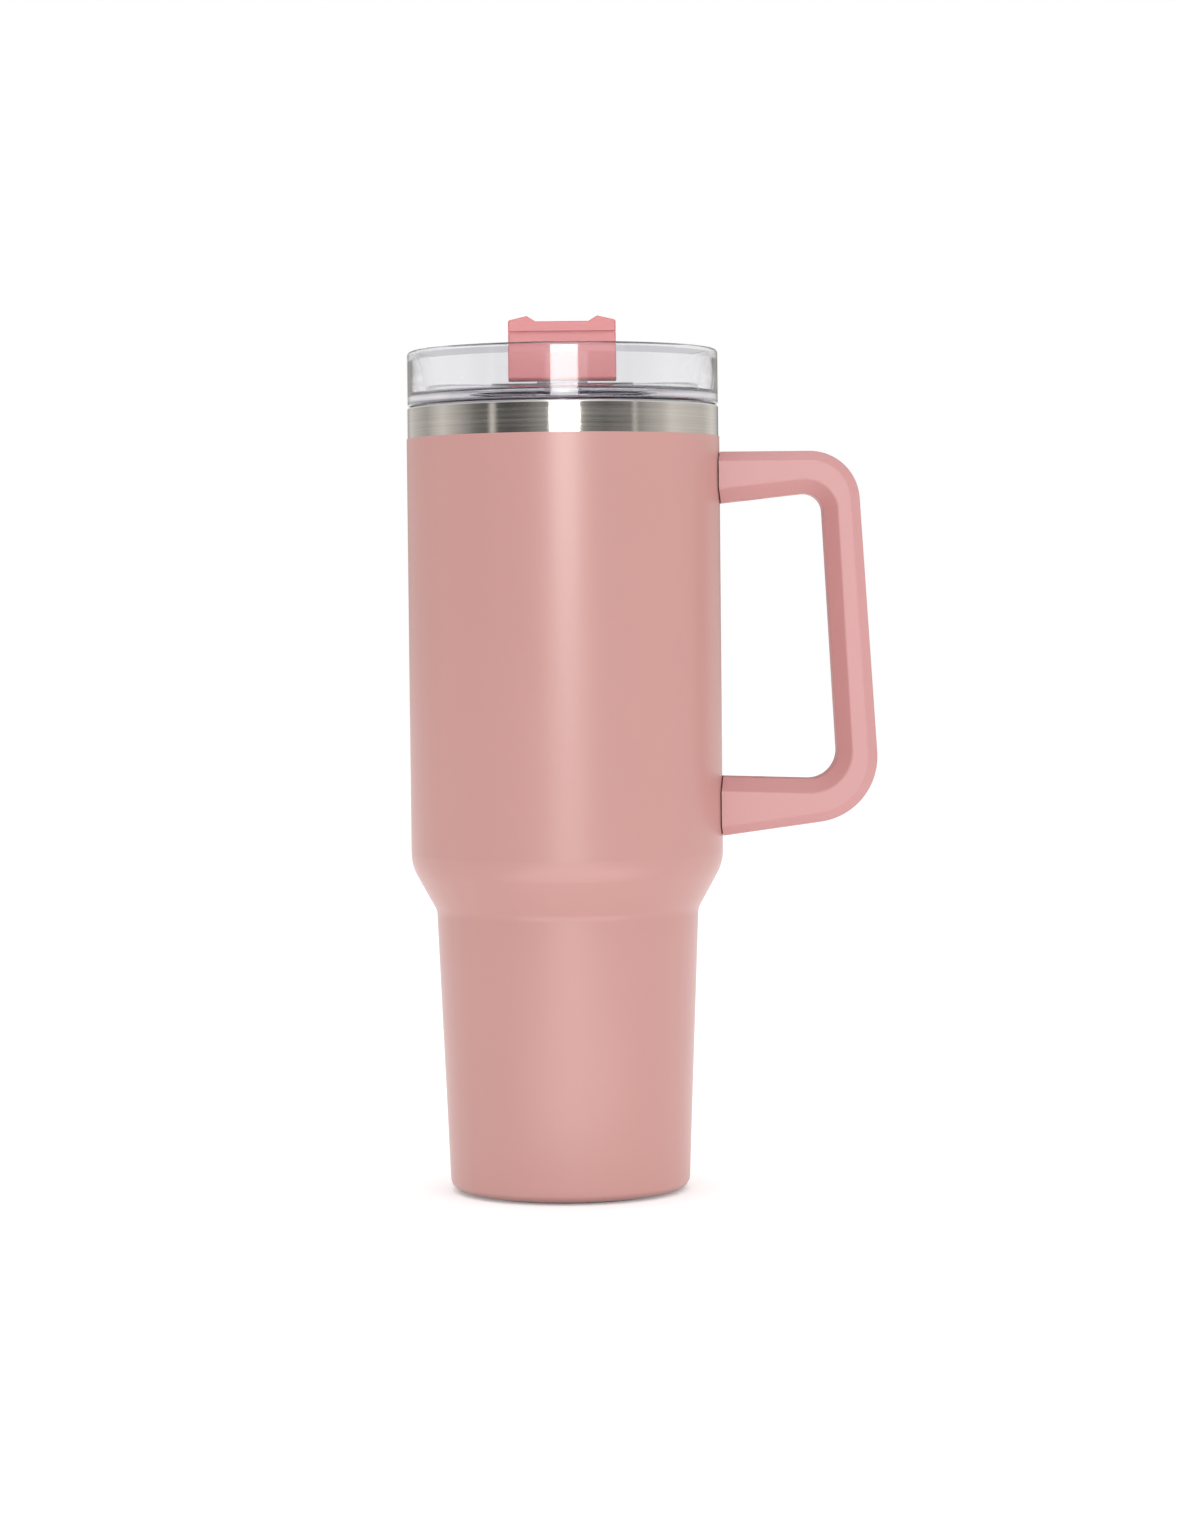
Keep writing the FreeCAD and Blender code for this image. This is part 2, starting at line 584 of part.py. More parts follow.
def make_bracket(label, tongue_z):
    """Steel bracket: a curved foot spot-welded to the cup and a tapped tongue in the arm."""
    body = new_body(label)
    steel_r = "(dim.coat_r - dim.coat)"
    foot = new_sketch(body, label + "_foot", "XZ_Plane")
    outline(foot, box_corners(f"{steel_r} - dim.blank_in", f"{tongue_z} - dim.saddle_tall / 2",
                              f"{steel_r} + dim.saddle", f"{tongue_z} + dim.saddle_tall / 2"))
    padded(body, foot, "dim.saddle_wide")
    tongue = new_sketch(body, label + "_tongue", "XZ_Plane")
    outline(tongue, box_corners(f"{steel_r} - dim.blank_in", f"{tongue_z} - dim.tongue_tall / 2",
                                "dim.tongue_end_x", f"{tongue_z} + dim.tongue_tall / 2"))
    padded(body, tongue, "dim.tongue_wide")
    cup = ring(new_sketch(body, label + "_cup", "XY_Plane"), "0", "0", steel_r)
    cut(body, cup, both=True)
    hole = ring(new_sketch(body, label + "_thread", "XY_Plane"), "dim.screw_x", "0", "dim.screw_r")
    cut(body, hole, both=True)
    return body


def make_handle_screws():
    """Two M4 screws and the two plugs that cover their heads, each pair one node."""
    screws, plugs = [], []
    reaches = [("top", "dim.top_tongue_z", -1, "dim.top_plug_reach"),
               ("low", "dim.low_tongue_z", 1, "dim.low_plug_reach")]
    tip, top = "-dim.screw_reach", "dim.head_reach + dim.head_tall"
    for tag, tongue_z, way, reach in reaches:
        screw = turned(tag + "_screw", [
            ("0", tip), ("dim.screw_r - dim.screw_tip", tip),
            ("dim.screw_r", "dim.screw_tip - dim.screw_reach"), ("dim.screw_r", "dim.head_reach"),
            ("dim.head_r", "dim.head_reach"), ("dim.head_r", top, "dim.head_bend"),
            ("dim.socket_r", top), ("dim.socket_r", f"{top} - dim.socket_deep"),
            ("0", f"{top} - dim.socket_end"),
        ], keep=False)
        inner = f"{reach} - dim.plug_tall"
        plug = turned(tag + "_plug", [
            ("0", inner), ("dim.plug_r", inner), ("dim.plug_r", reach, "dim.plug_bend"), ("0", reach),
        ], keep=False)
        for item, group in ((screw, screws), (plug, plugs)):
            turn_to(item, (0, 0, way))
            place(item, x="dim.screw_x", z=tongue_z)
            group.append(item)
    for label, items in (("handle_screws", screws), ("handle_screw_plugs", plugs)):
        pair = doc.addObject("Part::Compound", label)
        pair.Label = label
        pair.Links = items
        NODES.append(pair)


# ---- lid ------------------------------------------------------------------------------

def make_lid_body():
    """Clear lid: dished top, boss with the hinge knuckle, and the skirt inside the mouth."""
    body = turned("lid_body", [
        ("0", "dim.hub_z"), ("dim.hub_r", "dim.hub_z", "dim.hub_bend"),
        ("dim.hub_r", "dim.dish_z", "dim.hub_root"),
        ("dim.dish_low_r", "dim.dish_z", "dim.dish_bend"),
        ("dim.dish_top_r", "dim.lid_top_z - dim.rim_straight"),
        ("dim.dish_top_r", "dim.lid_top_z", "dim.rim_in_bend"),
        ("dim.lid_r", "dim.lid_top_z", "dim.rim_out_bend"),
        ("dim.lid_r", "dim.lid_low_z", "dim.flange_bend"), ("dim.skirt_r", "dim.lid_low_z"),
        ("dim.skirt_r", "dim.groove_high_z"), ("dim.groove_r", "dim.groove_high_z", "dim.groove_bend"),
        ("dim.groove_r", "dim.groove_low_z", "dim.groove_bend"), ("dim.skirt_r", "dim.groove_low_z"),
        ("dim.skirt_r", "dim.skirt_low_z + dim.skirt_lead"),
        ("dim.skirt_r - dim.skirt_lead", "dim.skirt_low_z"), ("dim.skirt_in_r", "dim.skirt_low_z"),
        ("dim.skirt_in_r", "dim.under_z", "dim.skirt_bend"), ("0", "dim.under_z"),
    ])
    front, back = "dim.hinge_y - dim.knuckle_r", "dim.hinge_y + dim.knuckle_r"
    root, top = "dim.hub_z - dim.past", "dim.hinge_z + dim.knuckle_r"
    knuckle = new_sketch(body, "knuckle", "YZ_Plane")
    outline(knuckle, [
        (front, root), (back, root), (back, top, "dim.knuckle_bend"), (front, top, "dim.knuckle_bend"),
    ])
    padded(body, knuckle, "dim.knuckle_wide")
    pin = ring(new_sketch(body, "knuckle_bore", "YZ_Plane"), "dim.hinge_y", "dim.hinge_z", "dim.pin_r")
    cut(body, pin, "dim.pin_long", both=True)
    sip_y = "dim.hinge_y + dim.sip_reach"
    sip = ring(new_sketch(body, "sip_hole", "XY_Plane"), "0", sip_y, "dim.sip_r")
    cut(body, sip, both=True)
    seat = ring(new_sketch(body, "sip_seat", "XY_Plane", "dim.hub_z"), "0", sip_y, "dim.seat_r")
    cut(body, seat, "dim.seat_deep")
    vent = ring(new_sketch(body, "vent", "XY_Plane"), "0", "dim.vent_y", "dim.vent_r")
    cut(body, vent, both=True)
    return body


def make_lid_gasket():
    """Silicone ring in the skirt's groove, with two sealing lips."""
    base, neck = "dim.groove_r", "dim.skirt_r - dim.neck_inset"
    low, high = "dim.groove_low_z + dim.gasket_play", "dim.groove_high_z - dim.gasket_play"
    edge, ledge = "dim.lip_rise", "(dim.lip_rise + dim.lip_tall)"
    foot = "(dim.lip_rise + dim.lip_tall + dim.lip_slope)"
    return turned("lid_gasket", [
        (base, low, "dim.groove_bend"), (neck, low), ("dim.lip_r", f"dim.groove_low_z + {edge}"),
        ("dim.lip_r", f"dim.groove_low_z + {ledge}"), (neck, f"dim.groove_low_z + {foot}"),
        (neck, f"dim.groove_high_z - {foot}"), ("dim.lip_r", f"dim.groove_high_z - {ledge}"),
        ("dim.lip_r", f"dim.groove_high_z - {edge}"), (neck, high), (base, high, "dim.groove_bend"),
    ])


def make_hinge_pin():
    half, thin = "dim.pin_long / 2", "dim.pin_r - dim.pin_edge"
    body = turned("lever_hinge_pin", [
        ("0", f"-{half}"), (thin, f"-{half}"), ("dim.pin_r", f"dim.pin_edge - {half}"),
        ("dim.pin_r", f"{half} - dim.pin_edge"), (thin, half), ("0", half),
    ])
    turn_to(body, (1, 0, 0))
    place(body, y="dim.hinge_y", z="dim.hinge_z")


# ---- lever ----------------------------------------------------------------------------

def is_foot_edge(edge):
    """The lever's two lower edges along X."""
    on_foot = abs(middle(edge).z - number("dim.hinge_z - dim.lever_thick / 2")) < NEAR
    return on_foot and edge.BoundBox.XLength > number("dim.lever_wide") - NEAR


def is_front_foot_edge(edge):
    return is_foot_edge(edge) and middle(edge).y < number("dim.hinge_y")


def is_back_foot_edge(edge):
    return is_foot_edge(edge) and middle(edge).y > number("dim.hinge_y")


def is_face_edge(edge):
    """Edges round the lever's front and back faces, above the rounded foot."""
    point = middle(edge)
    on_face = abs(abs(point.y - number("dim.hinge_y")) - number("dim.lever_thick / 2")) < NEAR
    return on_face and point.z > number("dim.hinge_z + dim.past")


def make_flip_lever():
    body = new_body("flip_lever")
    half, foot = "dim.lever_wide / 2", "dim.hinge_z - dim.lever_thick / 2"
    front = new_sketch(body, "lever_front", "XZ_Plane", "-dim.hinge_y")
    outline(front, [
        (f"-{half}", foot), (half, foot),
        (half, "dim.lever_corner_z", "dim.lever_bend"), ("dim.ear_x", "dim.ear_z", "dim.ear_bend"),
        ("dim.notch_x", "dim.notch_z", "dim.lever_bend"),
        ("-dim.notch_x", "dim.notch_z", "dim.lever_bend"),
        ("-dim.ear_x", "dim.ear_z", "dim.ear_bend"),
        (f"-{half}", "dim.lever_corner_z", "dim.lever_bend"),
    ])
    padded(body, front, "dim.lever_thick")
    finish_edges(body, "Fillet", "dim.lever_back_bend", is_back_foot_edge)
    finish_edges(body, "Fillet", "dim.lever_front_bend", is_front_foot_edge)
    finish_edges(body, "Fillet", "dim.lever_edge", is_face_edge)
    room = new_sketch(body, "knuckle_room", "YZ_Plane")
    reach = "(dim.knuckle_r + dim.slot_play)"
    outline(room, box_corners(f"dim.hinge_y - {reach}", f"{foot} - dim.past",
                              "dim.hinge_y + dim.lever_thick", f"dim.hinge_z + {reach}"))
    cut(body, room, "dim.knuckle_wide + 2 * dim.slot_play", both=True)
    bore = ring(new_sketch(body, "pin_bore", "YZ_Plane"), "dim.hinge_y", "dim.hinge_z",
                "dim.pin_r + dim.pin_play")
    cut(body, bore, both=True)
    face = "dim.hinge_y - dim.lever_thick / 2"
    line = new_sketch(body, "front_groove", "YZ_Plane")
    outline(line, box_corners(f"{face} - dim.past", "dim.line_z - dim.line_tall / 2",
                              f"{face} + dim.line_deep", "dim.line_z + dim.line_tall / 2"))
    cut(body, line, both=True)
    back = "(dim.hinge_y + dim.lever_thick / 2 + dim.past)"
    stem = new_sketch(body, "stopper_socket", "XZ_Plane", f"-{back}")
    ring(stem, "0", "dim.hinge_z + dim.sip_reach", "dim.stem_r")
    cut(body, stem, "dim.stem_long + dim.past", towards_normal=True)
    return body


def make_sip_stopper():
    """Silicone stopper on the lever's back, held by its stem."""
    face, hollow = "dim.stopper_proud", "dim.stopper_proud - dim.hollow_deep"
    body = turned("sip_stopper", [
        ("0", "-dim.stem_long"), ("dim.stem_r", "-dim.stem_long"), ("dim.stem_r", "0"),
        ("dim.stopper_r", "0"), ("dim.stopper_r", face, "dim.stopper_bend"),
        ("dim.hollow_r", face), ("dim.hollow_r - dim.hollow_slope", hollow), ("0", hollow),
    ])
    turn_to(body, (0, 1, 0))
    place(body, y="dim.hinge_y + dim.lever_thick / 2", z="dim.hinge_z + dim.sip_reach")


# ---- build, check, write --------------------------------------------------------------

def build():
    make_outer_shell()
    make_powder_coat()
    make_inner_liner()
    make_heat_shield()
    make_vacuum_base()
    make_vacuum_seal()
    make_base_cap()
    make_base_pad()
    make_getter()
    make_handle()
    make_bracket("upper_handle_bracket", "dim.top_tongue_z")
    make_bracket("lower_handle_bracket", "dim.low_tongue_z")
    make_handle_screws()
    make_lid_body()
    make_lid_gasket()
    make_hinge_pin()
    make_flip_lever()
    make_sip_stopper()
    doc.recompute()


def check():
    for item in doc.Objects:
        if "Invalid" in item.State or "Error" in item.State:
            raise RuntimeError(f"{item.Label} failed: {item.State}")
    for node in NODES:
        if node.Shape.isNull() or not node.Shape.isValid():
            raise RuntimeError(node.Label + " has no valid shape")


def write():
    os.makedirs("parts", exist_ok=True)
    for node in NODES:
        node.Shape.exportStep(os.path.join("parts", node.Label + ".step"))
        box = node.Shape.BoundBox
        print(f"{node.Label:24s} {len(node.Shape.Solids)} solid(s) {node.Shape.Volume:10.1f} mm3",
              f"x {box.XMin:.2f}..{box.XMax:.2f} y {box.YMin:.2f}..{box.YMax:.2f}",
              f"z {box.ZMin:.2f}..{box.ZMax:.2f}")


build()
check()
write()
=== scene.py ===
"""Looks of the insulated tumbler: materials, soft studio light, floor and camera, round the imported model."""
import math

import bpy
from mathutils import Matrix, Vector

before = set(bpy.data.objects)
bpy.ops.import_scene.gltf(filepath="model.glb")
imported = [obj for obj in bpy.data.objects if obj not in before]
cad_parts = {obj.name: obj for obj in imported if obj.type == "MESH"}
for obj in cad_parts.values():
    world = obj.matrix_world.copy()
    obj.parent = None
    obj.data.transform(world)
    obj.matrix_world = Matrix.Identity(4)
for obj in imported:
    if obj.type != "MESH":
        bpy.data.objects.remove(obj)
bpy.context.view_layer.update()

# Colours, linear.
ROSE_COAT = (0.524, 0.270, 0.247)
ROSE_HANDLE = (0.572, 0.281, 0.275)
ROSE_LEVER = (0.690, 0.205, 0.208)
BAND_STEEL = (0.70, 0.67, 0.63)
INNER_STEEL = (0.66, 0.65, 0.63)
PRESSED_STEEL = (0.60, 0.59, 0.57)
PLATED_STEEL = (0.74, 0.73, 0.71)
CLEAR = (0.985, 0.985, 1.0)
# Painted shade in the clear lid: a dimmer tone for its floor, a dark one for its boss and flange.
CLEAR_FLOOR_SHADE = (0.80, 0.775, 0.815)
CLEAR_PAINTED_SHADE = (0.219, 0.186, 0.230)
GASKET_MILKY = (0.82, 0.82, 0.82)
STOPPER_WHITE = (0.80, 0.79, 0.77)
# The pad's silicone is dark, and it is set darker still as painted shade for the contact line under the foot.
PAD_DARK_AND_SHADE = (0.040, 0.032, 0.034)
COPPER, COPPER_LOW, COPPER_HIGH = (0.83, 0.47, 0.32), (0.72, 0.37, 0.24), (0.90, 0.56, 0.40)
GETTER, GETTER_LOW, GETTER_HIGH = (0.16, 0.155, 0.15), (0.09, 0.09, 0.085), (0.26, 0.25, 0.24)
BEAD, BEAD_LOW, BEAD_HIGH = (0.50, 0.42, 0.32), (0.42, 0.34, 0.25), (0.60, 0.52, 0.40)
FLOOR_PALE = (0.90, 0.90, 0.90)
WHITE = (1.0, 1.0, 1.0)

# Zones of the coat and of the lid, m: heights above the table, distances from the cup's axis and
# distances to its left or right. Each pair is where a soft edge starts and ends.
# The foot zone and the lid's boss, floor and flange zones below are where painted shade goes.
FOOT_SHADE_EDGE = (0.0008, 0.0030)
BOSS_RADIUS, BOSS_HEIGHT = (0.0232, 0.0236), (0.2546, 0.2550)
LID_FLOOR_ASIDE, LID_FLOOR_HEIGHT = (0.016, 0.040), (0.2545, 0.2556)
FLANGE_RADIUS, FLANGE_HEIGHT = (0.0474, 0.0480), (0.2520, 0.2532)

# Camera: m, radians, and mm of lens on a 36 mm sensor.
VIEW_DISTANCE = 1.261
VIEW_HEIGHT = 0.18735
VIEW_YAW, VIEW_PITCH, VIEW_ROLL = 0.0059, 0.0384, -0.0102
LENS, SENSOR = 93.4, 36.0

# Studio: brightness of the surroundings and of the floor's own glow, and how both look through the lid.
AMBIENT = 0.90
THROUGH_FRONT, THROUGH_BACK = (0.518, 0.500, 0.551), (0.600, 0.600, 0.622)
FLOOR_GLOW = 0.23
FLOOR_THROUGH = 0.81
FLOOR_HALF = 6.0
TUMBLER_MIDDLE = (0.0, 0.0, 0.14)

# What polished surfaces reflect round the tumbler: degrees from the front, to the right of it positive,
# and brightness. A dark room in front with a paler middle and a narrow pale panel on each side of it,
# and lighter flats at the sides and behind.
ROOM = [(-180, 0.34), (-172, 0.60), (-165, 0.42), (-153, 0.70), (-120, 0.46), (-100, 0.76), (-82, 0.46),
        (-67, 0.18), (-57, 0.12), (-53, 0.80), (-49, 0.10), (-40, 0.07), (-28, 0.13), (-16, 0.26), (0, 0.30),
        (14, 0.30), (20, 0.19), (32, 0.13), (48, 0.20), (52, 0.22), (54, 0.72), (57, 0.28), (64, 0.42),
        (78, 0.58), (87, 0.80), (104, 0.69), (126, 0.62), (144, 0.80), (156, 0.62), (168, 0.28), (180, 0.34)]
ROOM_WARMTH = (1.03, 1.0, 0.96)

# Above the room: a grey ceiling and a white patch overhead, by the upward part of the direction.
CEILING, CEILING_RISE = (0.14, 0.14, 0.14), (0.36, 0.76)
OVERHEAD_RISE = (0.93125, 0.99375)


# ---- node helpers ---------------------------------------------------------------------

class Tree:
    """A node tree under construction, with short ways to add nodes to it."""

    def __init__(self, tree):
        self.nodes, self.links = tree.nodes, tree.links

    def node(self, kind, **settings):
        made = self.nodes.new(kind)
        for key, value in settings.items():
            setattr(made, key, value)
        return made

    def join(self, source, target):
        self.links.new(source, target)

    def math(self, operation, first, second):
        made = self.node("ShaderNodeMath", operation=operation)
        for socket, value in zip(made.inputs, (first, second)):
            if isinstance(value, float):
                socket.default_value = value
            else:
                self.join(value, socket)
        return made.outputs[0]

    def spread(self, value, low, high, from_low=0.3, from_high=0.7):
        """Map a value from one range to another, and hold it at the ends."""
        made = self.node("ShaderNodeMapRange")
        ends = {"From Min": from_low, "From Max": from_high, "To Min": low, "To Max": high}
        for name, number in ends.items():
            made.inputs[name].default_value = number
        self.join(value, made.inputs["Value"])
        return made.outputs["Result"]

    def rise(self, value, start, end):
        """0 up to the start of a soft edge, 1 from its end on."""
        return self.spread(value, 0.0, 1.0, start, end)

    def fall(self, value, start, end):
        """1 up to the start of a soft edge, 0 from its end on."""
        return self.spread(value, 1.0, 0.0, start, end)

    def blend(self, share, low, high):
        """Colour between two others, each a constant or an output."""
        made = self.node("ShaderNodeMix", data_type="RGBA")
        self.join(share, made.inputs["Factor"])
        for name, value in (("A", low), ("B", high)):
            if isinstance(value, tuple):
                made.inputs[name].default_value = (*value, 1.0)
            else:
                self.join(value, made.inputs[name])
        return made.outputs["Result"]

    def ramp(self, value, stops):
        """Colour ramp with (position, colour) stops."""
        made = self.node("ShaderNodeValToRGB")
        elements = made.color_ramp.elements
        while len(elements) < len(stops):
            elements.new(0.5)
        for element, (position, color) in zip(elements, stops):
            element.position = position
            element.color = (*color, 1.0)
        self.join(value, made.inputs["Fac"])
        return made.outputs["Color"]


class Look(Tree):
    """A material under construction: its node tree, its shader and the piece's own coordinates."""

    def __init__(self, name, color, roughness, metallic=0.0):
        self.material = bpy.data.materials.new(name)
        self.material.use_nodes = True
        super().__init__(self.material.node_tree)
        self.shader = next(n for n in self.nodes if n.type == "BSDF_PRINCIPLED")
        self.set(Base_Color=(*color, 1.0), Roughness=roughness, Metallic=metallic)
        self.place = self.node("ShaderNodeTexCoord").outputs["Object"]

    def set(self, **values):
        """Constants on the shader's own sockets, spaces in their names written as _."""
        for key, value in values.items():
            self.shader.inputs[key.replace("_", " ")].default_value = value

    def stretched(self, scale):
        """Object coordinates multiplied by a scale per axis."""
        mapping = self.node("ShaderNodeMapping")
        mapping.inputs["Scale"].default_value = scale
        self.join(self.place, mapping.inputs["Vector"])
        return mapping.outputs["Vector"]

    def distance(self, scale):
        """Distance from the origin once each axis is multiplied by a scale; 0 leaves an axis out."""
        made = self.node("ShaderNodeVectorMath", operation="LENGTH")
        self.join(self.stretched(scale), made.inputs[0])
        return made.outputs["Value"]

    def noise(self, scale, detail=2.0, vector=None, rough=0.5):
        made = self.node("ShaderNodeTexNoise")
        made.inputs["Scale"].default_value = scale
        made.inputs["Detail"].default_value = detail
        made.inputs["Roughness"].default_value = rough
        self.join(vector or self.place, made.inputs["Vector"])
        return made.outputs["Fac"]

    def color(self, output):
        self.join(output, self.shader.inputs["Base Color"])

    def mottle(self, noise, low, high, low_at=0.3, high_at=0.7):
        """Base colour that follows a noise from one colour to another."""
        self.color(self.ramp(noise, [(low_at, low), (high_at, high)]))

    def roughness(self, noise, low, high, from_low=0.3, from_high=0.7):
        """Roughness that follows a noise between two values."""
        self.join(self.spread(noise, low, high, from_low, from_high), self.shader.inputs["Roughness"])

    def bump(self, height, strength, distance, under=None):
        """Bump over an earlier bump's normal; returns the new normal."""
        made = self.node("ShaderNodeBump")
        made.inputs["Strength"].default_value = strength
        made.inputs["Distance"].default_value = distance
        self.join(height, made.inputs["Height"])
        if under:
            self.join(under, made.inputs["Normal"])
        self.join(made.outputs["Normal"], self.shader.inputs["Normal"])
        return made.outputs["Normal"]


def shade(color, gain):
    return tuple(min(1.0, c * gain) for c in color)


# ---- materials ------------------------------------------------------------------------

def satin_look(name, color, roughness, grain, depth, foot_shade_gain=None):
    """Satin coloured surface with a fine grain, soft mottling and uneven gloss.

    With a foot gain given, its brightness is multiplied by that at the turn of the foot: painted shade for the
    contact shadow there.
    """
    look = Look(name, color, roughness)
    patches = look.noise(scale=14.0, detail=3.0)
    mottled = satin_color(look, patches, color)
    # Painted shade: the coat darkens over its lowest few millimetres, for the contact shadow at the foot.
    if foot_shade_gain:
        painted_foot_shade = satin_color(look, patches, shade(color, foot_shade_gain))
        height = look.distance((0.0, 0.0, 1.0))
        mottled = look.blend(look.rise(height, *FOOT_SHADE_EDGE), painted_foot_shade, mottled)
    look.color(mottled)
    look.roughness(look.noise(scale=40.0), roughness - 0.015, roughness + 0.015, 0.2, 0.8)
    peel = look.bump(look.noise(scale=grain), strength=0.2, distance=depth)
    look.bump(look.noise(scale=grain * 0.22), strength=0.12, distance=depth * 2.0, under=peel)
    look.set(Specular_IOR_Level=0.44)
    return look


def satin_color(look, patches, color):
    return look.ramp(patches, [(0.30, shade(color, 0.985)), (0.70, shade(color, 1.012))])


def brushed_look(name, color, roughness, line=4200.0, metallic=1.0):
    """Steel brushed round the axis: fine lines that run round the cup."""
    look = Look(name, color, roughness, metallic)
    scratches = look.noise(1.0, detail=5.0, vector=look.stretched((14.0, 14.0, line)), rough=0.65)
    broad = look.noise(1.0, vector=look.stretched((6.0, 6.0, line * 0.16)))
    look.mottle(scratches, shade(color, 0.86), shade(color, 1.06), 0.25, 0.75)
    look.roughness(broad, roughness - 0.03, roughness + 0.04)
    look.bump(scratches, strength=0.35, distance=0.00002)
    look.set(Anisotropic=0.7, Anisotropic_Rotation=0.25)
    tangent = look.node("ShaderNodeTangent", direction_type="RADIAL", axis="Z")
    look.join(tangent.outputs["Tangent"], look.shader.inputs["Tangent"])
    return look


def pressed_steel_look(name, color, roughness):
    """Plain pressed or plated steel with a fine matt grain."""
    look = Look(name, color, roughness, metallic=1.0)
    look.roughness(look.noise(scale=240.0, detail=4.0), roughness - 0.08, roughness + 0.10)
    look.mottle(look.noise(scale=90.0, detail=3.0), shade(color, 0.90), shade(color, 1.05))
    look.bump(look.noise(scale=2600.0, detail=3.0), strength=0.2, distance=0.00003)
    return look


def clear_look():
    """Clear moulded copolyester, polished, with painted shade in the boss, in the floor seen edge-on and in
    the flange.
    """
    look = Look("clear_moulding", CLEAR, 0.02)
    look.set(Transmission_Weight=1.0, IOR=1.30, Coat_Weight=0.7, Coat_IOR=1.55, Coat_Roughness=0.09)
    height = look.distance((0.0, 0.0, 1.0))
    radius = look.distance((1.0, 1.0, 0.0))
    aside = look.distance((1.0, 0.0, 0.0))
    # Painted shade: a dark tone in the boss and flange and a dimmer one in the floor, for the shade under the
    # lever and at the rim.
    boss_shade = look.math("MULTIPLY", look.fall(radius, *BOSS_RADIUS), look.rise(height, *BOSS_HEIGHT))
    floor_shade = look.math("MULTIPLY", look.fall(aside, *LID_FLOOR_ASIDE), look.fall(height, *LID_FLOOR_HEIGHT))
    flange_shade = look.math("MULTIPLY", look.rise(radius, *FLANGE_RADIUS), look.fall(height, *FLANGE_HEIGHT))
    floor = look.blend(floor_shade, CLEAR, CLEAR_FLOOR_SHADE)
    look.color(look.blend(boss_shade, look.blend(flange_shade, floor, CLEAR_PAINTED_SHADE), CLEAR_PAINTED_SHADE))
    flow = look.noise(1.0, vector=look.stretched((18.0, 18.0, 60.0)))
    look.bump(flow, strength=0.04, distance=0.0004)
    look.roughness(look.noise(scale=45.0, detail=3.0), 0.012, 0.045)
    return look


def silicone_look(name, color, roughness, cloudy):
    """Moulded silicone, from milky to solid by how cloudy it is."""
    look = Look(name, color, roughness)
    look.mottle(look.noise(scale=80.0, detail=3.0), shade(color, 0.94), shade(color, 1.04))
    look.roughness(look.noise(scale=150.0, detail=3.0), roughness - 0.06, roughness + 0.06)
    look.bump(look.noise(scale=1500.0), strength=0.25, distance=0.00004)
    look.set(Subsurface_Weight=cloudy, Subsurface_Scale=0.002)
    return look


def foil_look():
    """Thin copper foil, slightly crinkled."""
    look = Look("copper_foil", COPPER, 0.28, metallic=1.0)
    crinkle = look.noise(1.0, detail=6.0, vector=look.stretched((90.0, 90.0, 34.0)), rough=0.6)
    look.mottle(crinkle, COPPER_LOW, COPPER_HIGH)
    look.roughness(look.noise(scale=300.0, detail=4.0), 0.20, 0.38)
    look.bump(crinkle, strength=0.6, distance=0.0006)
    return look


def sintered_look():
    """Grey, coarse-grained sintered metal."""
    look = Look("getter_alloy", GETTER, 0.78, metallic=0.6)
    grains = look.noise(scale=5200.0, detail=4.0)
    look.mottle(grains, GETTER_LOW, GETTER_HIGH)
    look.bump(grains, strength=0.7, distance=0.00006)
    return look


def bead_look():
    """Brownish solder glass, melted and only partly clear."""
    look = Look("seal_glass", BEAD, 0.14)
    look.set(Transmission_Weight=0.35, IOR=1.52)
    look.mottle(look.noise(scale=900.0, detail=3.0), BEAD_LOW, BEAD_HIGH)
    look.bump(look.noise(scale=700.0), strength=0.3, distance=0.0001)
    return look


def dress():
    """Give every node its material."""
    # The coat carries painted shade at its foot.
    coat = satin_look("rose_powder_coat", ROSE_COAT, roughness=0.31, grain=2100.0, depth=0.00005,
                      foot_shade_gain=0.55)
    grip = satin_look("rose_handle_plastic", ROSE_HANDLE, roughness=0.50, grain=1500.0, depth=0.00004)
    lever = satin_look("rose_lever_plastic", ROSE_LEVER, roughness=0.42, grain=1700.0, depth=0.00003)
    band = brushed_look("brushed_steel", BAND_STEEL, roughness=0.11)
    inside = brushed_look("inner_steel", INNER_STEEL, roughness=0.36, line=2600.0, metallic=0.6)
    pressed = pressed_steel_look("pressed_steel", PRESSED_STEEL, roughness=0.42)
    plated = pressed_steel_look("plated_screw", PLATED_STEEL, roughness=0.24)
    looks = {
        "powder_coat": coat, "handle": grip, "handle_screw_plugs": grip, "flip_lever": lever,
        "outer_shell": band, "base_cap": band, "inner_liner": inside,
        "vacuum_base": pressed, "getter_clip": pressed, "upper_handle_bracket": pressed,
        "lower_handle_bracket": pressed, "handle_screws": plated, "lever_hinge_pin": plated,
        "lid_body": clear_look(),
        "lid_gasket": silicone_look("clear_silicone", GASKET_MILKY, roughness=0.45, cloudy=0.4),
        "sip_stopper": silicone_look("white_silicone", STOPPER_WHITE, roughness=0.48, cloudy=0.3),
        # Dark silicone pad, darkened further as painted shade for the contact line under the foot.
        "base_pad": silicone_look("dark_silicone", PAD_DARK_AND_SHADE, roughness=0.66, cloudy=0.0),
        "heat_shield_foil": foil_look(), "getter_pill": sintered_look(), "vacuum_seal": bead_look(),
    }
    for name, look in looks.items():
        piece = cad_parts[name]
        piece.data.materials.clear()
        piece.data.materials.append(look.material)


# ---- studio ---------------------------------------------------------------------------

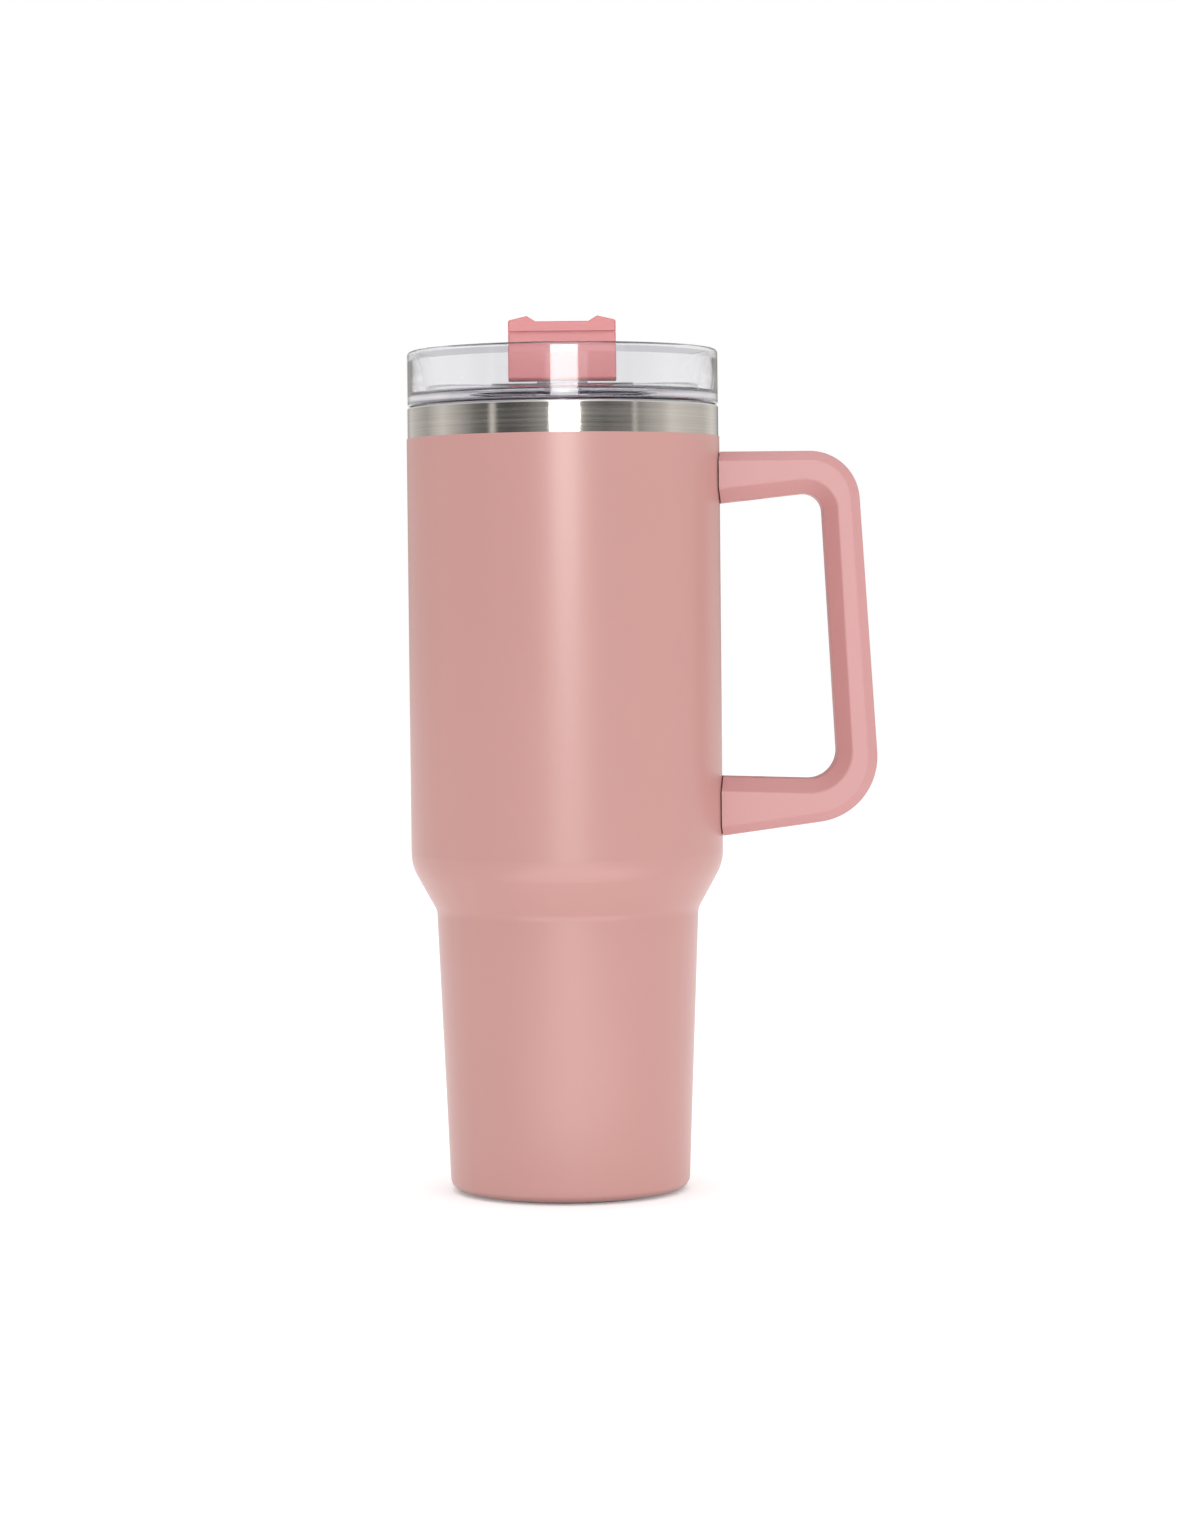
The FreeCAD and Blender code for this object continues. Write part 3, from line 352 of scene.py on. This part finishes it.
def make_camera():
    data = bpy.data.cameras.new("camera")
    data.lens, data.sensor_width = LENS, SENSOR
    data.clip_start, data.clip_end = 0.05, 50.0
    camera = bpy.data.objects.new("camera", data)
    ahead = Vector((math.sin(VIEW_YAW) * math.cos(VIEW_PITCH),
                    math.cos(VIEW_YAW) * math.cos(VIEW_PITCH), -math.sin(VIEW_PITCH)))
    right = Vector((math.cos(VIEW_YAW), -math.sin(VIEW_YAW), 0.0))
    up = right.cross(ahead)
    rolled_right = math.cos(VIEW_ROLL) * right + math.sin(VIEW_ROLL) * up
    rolled_up = math.cos(VIEW_ROLL) * up - math.sin(VIEW_ROLL) * right
    turn = Matrix((rolled_right, rolled_up, -ahead)).transposed().to_4x4()
    camera.matrix_world = Matrix.Translation((0.0, -VIEW_DISTANCE, VIEW_HEIGHT)) @ turn
    bpy.context.scene.collection.objects.link(camera)
    bpy.context.scene.camera = camera


def make_light(name, place, target, wide, tall, power, glossy=True, diffuse=True):
    """Soft rectangular light that the camera doesn't see, aimed at a target."""
    data = bpy.data.lights.new(name, "AREA")
    data.shape = "RECTANGLE"
    data.size, data.size_y = wide, tall
    data.energy = power
    light = bpy.data.objects.new(name, data)
    light.location = place
    aim = Vector(target) - Vector(place)
    light.rotation_euler = aim.to_track_quat("-Z", "Y").to_euler()
    light.visible_glossy = glossy
    light.visible_diffuse = diffuse
    light.visible_camera = False
    bpy.context.scene.collection.objects.link(light)


def make_lights():
    """Two narrow lights seen only as gloss, upright and on the table in front, and two wide unseen ones."""
    make_light("front_softbox", place=(0.04, -1.75, 0.84), target=(0.0, 0.0, 0.84),
               wide=0.60, tall=1.26, power=28.0, diffuse=False)
    make_light("table_gleam", place=(0.03, -0.56, 0.004), target=(0.03, -0.56, 1.0),
               wide=0.30, tall=0.90, power=1.4, diffuse=False)
    make_light("front_fill", place=(1.0, -2.2, 0.9), target=TUMBLER_MIDDLE,
               wide=2.4, tall=1.8, power=12.0, glossy=False)
    make_light("top_softbox", place=(0.0, 0.1, 1.9), target=(0.0, 0.0, 0.0),
               wide=2.2, tall=2.2, power=11.0, glossy=False)


def make_world():
    """White studio: even light, with the darker room in front seen only in reflections."""
    world = bpy.data.worlds.new("studio")
    world.use_nodes = True
    bpy.context.scene.world = world
    tree = Tree(world.node_tree)
    tree.nodes.clear()
    split = tree.node("ShaderNodeSeparateXYZ")
    tree.join(tree.node("ShaderNodeTexCoord").outputs["Generated"], split.inputs["Vector"])
    across, along, up = (split.outputs[axis] for axis in "XYZ")
    turn = tree.math("ARCTAN2", across, tree.math("MULTIPLY", along, -1.0))
    stops = [(0.5 + degrees / 360.0, tuple(bright * warmth for warmth in ROOM_WARMTH))
             for degrees, bright in ROOM]
    room = tree.ramp(tree.rise(turn, -math.pi, math.pi), stops)
    under_ceiling = tree.blend(tree.rise(up, *CEILING_RISE), room, CEILING)
    reflected = tree.blend(tree.rise(up, *OVERHEAD_RISE), under_ceiling, WHITE)
    through = tree.blend(tree.rise(along, -1.0, 1.0), THROUGH_FRONT, THROUGH_BACK)
    ray = tree.node("ShaderNodeLightPath").outputs
    plain = tree.blend(ray["Is Camera Ray"], (AMBIENT, AMBIENT, AMBIENT), WHITE)
    lit = tree.blend(ray["Is Glossy Ray"], plain, reflected)
    background = tree.node("ShaderNodeBackground")
    tree.join(tree.blend(ray["Is Transmission Ray"], lit, through), background.inputs["Color"])
    tree.join(background.outputs[0], tree.node("ShaderNodeOutputWorld").inputs["Surface"])


def make_floor():
    """Bright seamless table: white in the picture, dimmed where the tumbler stands and through the lid."""
    mesh = bpy.data.meshes.new("floor")
    corners = [(x * FLOOR_HALF, y * FLOOR_HALF, 0.0) for x, y in ((-1, -1), (1, -1), (1, 1), (-1, 1))]
    mesh.from_pydata(corners, [], [(0, 1, 2, 3)])
    floor = bpy.data.objects.new("floor", mesh)
    bpy.context.scene.collection.objects.link(floor)
    look = Look("pale_floor", FLOOR_PALE, 0.9)
    look.set(Specular_IOR_Level=0.1, Emission_Color=(*WHITE, 1.0))
    through = look.node("ShaderNodeLightPath").outputs["Is Transmission Ray"]
    look.color(look.blend(through, FLOOR_PALE, shade(FLOOR_PALE, FLOOR_THROUGH)))
    glow = look.spread(through, FLOOR_GLOW, FLOOR_GLOW * FLOOR_THROUGH, 0.0, 1.0)
    look.join(glow, look.shader.inputs["Emission Strength"])
    mesh.materials.append(look.material)


bpy.context.scene.view_settings.view_transform = "Standard"
make_camera()
make_world()
make_lights()
make_floor()
dress()
